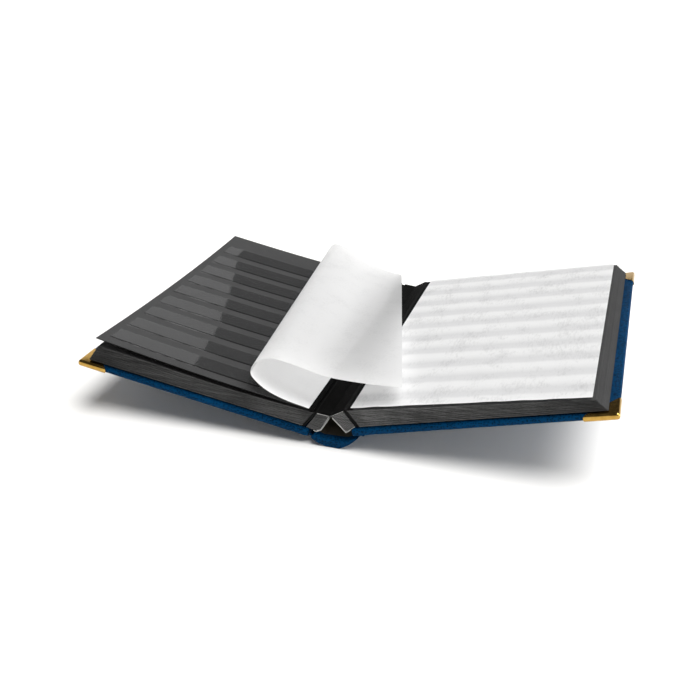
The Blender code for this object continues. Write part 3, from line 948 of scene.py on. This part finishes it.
def make_page_strips(name, body, surface_at, reach, squash=None):
    """All of a page's strips and seams where they show only once the leaf over them has turned."""
    films = [strip_rows(surface_at, strip_low_edge(index), *reach, 900 + index) for index in range(STRIPS)]
    seams = [seam_rows(surface_at, strip_low_edge(index), *reach) for index in range(STRIPS)]
    # The seams are painted darker than the card, as painted shade along each strip's low edge
    for sheets, kind, material, slot in ((films, "films", "clear_film", "clear_film"),
                                         (seams, "seams", "seam_black", "black_card")):
        piece = sheet_of(f"{name}_{kind}", *sheets)
        finish_piece(piece, body, material)
        if squash:
            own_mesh(piece)


over_left_page = page_surface("left_leaves_02_03")
over_right_page = page_surface("right_leaves_01_02")
make_turning_leaf()
make_turning_strips()
make_page_strips("turning_leaf_back", "turning_leaf", lambda lift: turning_surface(-lift), TURNING_STRIPS, LEAF_FLAT)
make_page_strips("left_page", "left_leaves", over_left_page, LEFT_PAGE_STRIPS)
make_page_strips("right_page", "right_leaves", over_right_page, RIGHT_PAGE_STRIPS)


# ---- The binding in the gutter ----

def stub_paths(side):
    """The stub's inner path, down the hollow from the gutter, and its outer path, along the hinge gap."""
    loop = section(side + "_stub")
    start = int(np.argmin([abs(p[0] - GUTTER.x) for p in loop]))
    loop = loop[start:] + loop[:start]
    if loop[1][1] < loop[-1][1]:
        loop = [loop[0]] + loop[:0:-1]
    return [loop[0], loop[5], loop[4]], [loop[1], loop[2]]


def along_path(path, share):
    """The point at this share of a path's length."""
    lengths = np.concatenate([[0], np.cumsum([np.linalg.norm(b - a) for a, b in zip(path, path[1:])])])
    reach = share * lengths[-1]
    return np.array([np.interp(reach, lengths, [p[axis] for p in path]) for axis in (0, 1)])


def rows_between(start, end, steps, ys):
    """Rows of points from one (x, z) to the other, at each y."""
    line = [start + t * (end - start) for t in np.linspace(0, 1, steps)]
    return [[(x, y, z) for x, z in line] for y in ys]


def make_stub(side):
    """The stub as the folded card tabs that it is made of, between its two sides."""
    inner, outer = stub_paths(side)
    source = random.Random(len(side))
    shape = bmesh.new()
    for index in range(STUB_TABS):
        reach = LEAF_HALF + source.uniform(*TAB_SCATTER)
        rows = []
        for share in (index / STUB_TABS, (index + TAB_SHARE) / STUB_TABS):
            rows.append(rows_between(along_path(inner, share), along_path(outer, share), 3, (-reach, reach)))
        add_slab(shape, *rows)
    stub = object_of(side + "_stub_tabs", shape)
    finish_piece(stub, side + "_leaves", "black_card", smooth=0)
    stub.data.materials.append(MATERIALS[side + "_edges"])
    for face in stub.data.polygons:
        if abs(face.normal.y) > 0.5:
            face.material_index = 1
    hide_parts(side + "_stub")


def tube(shape, path, radius, sides=8):
    """A closed tube along a path in the XZ plane at one y, each path point being (x, y, z)."""
    rings = []
    for index, point in enumerate(path):
        before, after = path[max(0, index - 1)], path[min(len(path) - 1, index + 1)]
        along = (Vector(after) - Vector(before)).normalized()
        side = along.cross(Vector((0, 1, 0))).normalized()
        rings.append([shape.verts.new(Vector(point) + radius * (math.cos(a) * side + math.sin(a) * Vector((0, 1, 0))))
                      for a in np.linspace(0, math.tau, sides, endpoint=False)])
    join_rings(shape, rings)
    shape.faces.new(rings[0][::-1])
    shape.faces.new(rings[-1])


def make_gauze(side):
    """The frayed white edge of the gauze at the stub's two ends: whole on the left, with the sewing thread's knot, and
    in stitches on the right, with a whole edge under the stub."""
    inner, outer = stub_paths(side)
    route = [outer[0]] + inner
    fray = smooth_noise(5 + len(side), 6)
    shape = bmesh.new()
    for y in (-LEAF_HALF - GAUZE_PROUD, LEAF_HALF + GAUZE_PROUD):
        path = []
        for share in np.linspace(0, 1, 60):
            x, z = along_path(route, share)
            path.append((x + GAUZE_FRAY * fray(7 * share), y, z - 0.1 + GAUZE_FRAY * fray(5 * share + 0.3)))
        if side == "left":
            tube(shape, path, GAUZE_RADIUS)
            x, z = along_path(route, KNOT_PLACE)
            knot = Matrix.Translation((x, y, z)) @ Matrix.Diagonal(KNOT_SHAPE)
            bmesh.ops.create_icosphere(shape, subdivisions=2, radius=KNOT_SIZE, matrix=knot)
        else:
            for start in range(0, 57, 4):
                tube(shape, path[start:start + 3], GAUZE_RADIUS)
            under = rows_between(inner[-1], outer[-1] + np.array(GAUZE_END), 12, [y])[0]
            tube(shape, under, GAUZE_RADIUS)
    gauze = object_of(side + "_gauze_edge", shape)
    finish_piece(gauze, side + "_leaves", "mull", smooth=60)


def make_linen(side):
    """The linen over the stub: it meets the other half's at the gutter and laps on to the first leaf."""
    upper, lower = two_faces(side + "_gutter_linen")
    step = (upper[-1] - upper[0]) / np.linalg.norm(upper[-1] - upper[0])
    ys = np.linspace(-LEAF_HALF - LINEN_PROUD, LEAF_HALF + LINEN_PROUD, TAPE_STEPS)
    faces = [rows_between(path[0] - LINEN_REACH * step, path[-1] + LINEN_PROUD * step, 7, ys)
             for path in (upper, lower)]
    linen = slab_of(side + "_linen_strip", *faces)
    finish_piece(linen, side + "_leaves", "linen")
    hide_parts(side + "_gutter_linen")


def make_tape(name, body, surface_at, edges, squash=None):
    """The black linen tape along the inner margin of a top leaf."""
    xs = np.linspace(*edges, 6)
    ys = np.linspace(-LEAF_HALF, LEAF_HALF, TAPE_STEPS)
    tape = slab_of(name, surface_rows(surface_at(TAPE), xs, ys), surface_rows(surface_at(TAPE_CLEAR), xs, ys))
    finish_piece(tape, body, "linen")
    if squash:
        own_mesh(tape)


for side in ("left", "right"):
    make_stub(side)
    make_gauze(side)
    make_linen(side)
make_tape("turning_leaf_tape", "turning_leaf", over_leaf, (TURN_START[0] - TAPE_WIDTH, TURN_START[0]), LEAF_FLAT)
make_tape("left_page_tape", "left_leaves", over_left_page, (LEFT_PAGE_EDGE - TAPE_WIDTH, LEFT_PAGE_EDGE))
make_tape("right_page_tape", "right_leaves", over_right_page, (RIGHT_PAGE_EDGE, RIGHT_PAGE_EDGE + TAPE_WIDTH))


# ---- Glassine interleaves ----

def make_curl():
    """The sheet curled back over the gutter: its base stays on the page, and its flap opens with the album."""
    front = spline_through(CURL_FRONT, CURL_STEPS)
    back = spline_through(CURL_BACK, CURL_STEPS)
    fold = CURL_FOLD * CURL_STEPS
    fold_x, fold_z = CURL_FRONT[CURL_FOLD]
    parts = {
        "base": (0, fold, "left_leaves", "glassine_painted_bright",
                 ("album_close", PAGE_NORMAL, from_gutter(*CURL_FRONT[0]))),
        "flap": (fold, len(front) - 1, "curled_interleaf", "glassine",
                 ("interleaf_unfold", FLAP_NORMAL, from_gutter(fold_x, fold_z - FLAP_DROP))),
    }
    for part, (first, last, body, material, (joint, axis, anchor)) in parts.items():
        rows = []
        for share in np.linspace(0, 1, CURL_ROWS):
            row = []
            for index in range(first, last + 1):
                x, z = front[index] + share * (back[index] - front[index])
                row.append((x + GUTTER.x, (2 * share - 1) * LEAF_HALF, z + GUTTER.z))
            rows.append(row)
        paper = sheet_of("curled_glassine_" + part, rows)
        finish_piece(paper, body, material, smooth=80)
        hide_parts("curled_interleaf_" + part)
        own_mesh(paper)


def make_flat_interleaf():
    """The sheet on the right page, gently rippled, and cockled and frayed along its front edge."""
    face = resample(two_faces("right_interleaf")[0], PAGE_STEPS)
    wave, ripple = smooth_noise(41, 7), smooth_noise(77, 9)
    rows = []
    for share in np.linspace(0, 1, SHEET_ROWS):
        y = (2 * share - 1) * LEAF_HALF
        near_front = math.exp(-9 * share)
        row = []
        for across, (x, z) in zip(np.linspace(0, 1, len(face)), face):
            edge = wave(2.2 * across)
            lift = SHEET_COCKLE * near_front * (1 + edge) + SHEET_RIPPLE * (1 + ripple(3 * across + 1.3 * share))
            row.append((x, y - SHEET_FRAY * near_front * edge, z + lift))
        rows.append(row)
    paper = sheet_of("right_glassine", rows)
    finish_piece(paper, "right_leaves", "glassine_flat", smooth=80)
    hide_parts("right_interleaf")


make_curl()
make_flat_interleaf()


# ---- The CAD nodes that stay ----

FINISHES = {"hinge": "seam_black", "linen": "linen", "mull": "mull", "foam": "foam", "pastedown": "pastedown"}

for node, piece in NODES.items():
    if not piece.hide_render:
        finish = next((FINISHES[word] for word in FINISHES if word in node), "board")
        piece.data.materials.clear()
        piece.data.materials.append(MATERIALS[finish])


# ---- Floor, light and camera ----

# The white floor: a disc, and the reach and height of the rings by which it sweeps up far away all round
FLOOR_RINGS = ((8000, 0), (11000, 130), (14000, 560), (17000, 1500), (20000, 3100), (23000, 5600), (25500, 9000))
FLOOR_SIDES = 96


def make_floor():
    shape = bmesh.new()
    angles = np.linspace(0, math.tau, FLOOR_SIDES, endpoint=False)
    rings = [[shape.verts.new((reach * math.cos(a), reach * math.sin(a), height)) for a in angles]
             for reach, height in FLOOR_RINGS]
    shape.faces.new(rings[0])
    join_rings(shape, rings)
    floor = object_of("floor", shape)
    material, _, _ = new_material("floor_white", (0.9, 0.892, 0.875), 0.9, specular=0.0)
    floor.data.materials.append(material)
    floor.data.shade_smooth()


def sun(name, direction, strength, angle):
    """Even light from this direction, out of a patch of sky this many degrees wide."""
    light = bpy.data.lights.new(name, "SUN")
    light.energy = strength
    light.angle = math.radians(angle)
    lamp = bpy.data.objects.new(name, light)
    lamp.rotation_euler = Vector(direction).to_track_quat("Z", "Y").to_euler()
    bpy.context.scene.collection.objects.link(lamp)


def panel(name, place, target, size, power):
    """A soft box at this place in metres, turned to its target."""
    light = bpy.data.lights.new(name, "AREA")
    light.shape = "RECTANGLE"
    light.size, light.size_y = size
    light.energy = power
    lamp = bpy.data.objects.new(name, light)
    lamp.location = place
    lamp.rotation_euler = (Vector(place) - Vector(target)).to_track_quat("Z", "Y").to_euler()
    lamp.visible_camera = False
    bpy.context.scene.collection.objects.link(lamp)


def make_light():
    world = bpy.data.worlds.new("studio")
    world.use_nodes = True
    sky = world.node_tree.nodes["Background"]
    sky.inputs["Color"].default_value = (1, 1, 1, 1)
    sky.inputs["Strength"].default_value = 0.07
    bpy.context.scene.world = world
    sun("overhead", direction=(0.35, 0.02, 1), strength=3.95, angle=50)
    panel("right_side", place=(1.5, -0.1, 0.8), target=(0.2, -0.1, 0.05), size=(1.2, 1.0), power=7)
    panel("right_low", place=(1.6, 0.1, 0.25), target=(0.2, 0, 0.05), size=(1.2, 0.4), power=9)
    panel("back_left", place=(-1.535, 1.7, 1.2), target=(-1.535, 0, 1.2), size=(1.8, 1.2), power=7.5)
    panel("front", place=(0.3, -1.9, 1.1), target=(0, 0, 0.05), size=(2.4, 1.6), power=1)


# The camera: the angles it looks from in degrees, its place in metres, and its lens, sensor and sideways shift
CAMERA_AZIMUTH = 16.22
CAMERA_ELEVATION = 26.44
CAMERA_PLACE = (0.2257, -0.7771, 0.4227)
CAMERA_LENS = 46.87
CAMERA_SENSOR = 36
CAMERA_SHIFT = -0.0387


def make_camera():
    azimuth, elevation = math.radians(CAMERA_AZIMUTH), math.radians(CAMERA_ELEVATION)
    data = bpy.data.cameras.new("camera")
    data.lens = CAMERA_LENS
    data.sensor_width = CAMERA_SENSOR
    data.shift_x = CAMERA_SHIFT
    camera = bpy.data.objects.new("camera", data)
    away = Vector((math.sin(azimuth) * math.cos(elevation), -math.cos(azimuth) * math.cos(elevation),
                   math.sin(elevation)))
    across = Vector((math.cos(azimuth), math.sin(azimuth), 0))
    upward = away.cross(across)
    turn = Matrix((across, upward, away)).transposed().to_4x4()
    camera.matrix_world = Matrix.Translation(CAMERA_PLACE) @ turn
    bpy.context.scene.collection.objects.link(camera)
    bpy.context.scene.camera = camera


make_floor()
make_light()
make_camera()
bpy.context.scene.view_settings.view_transform = "Standard"
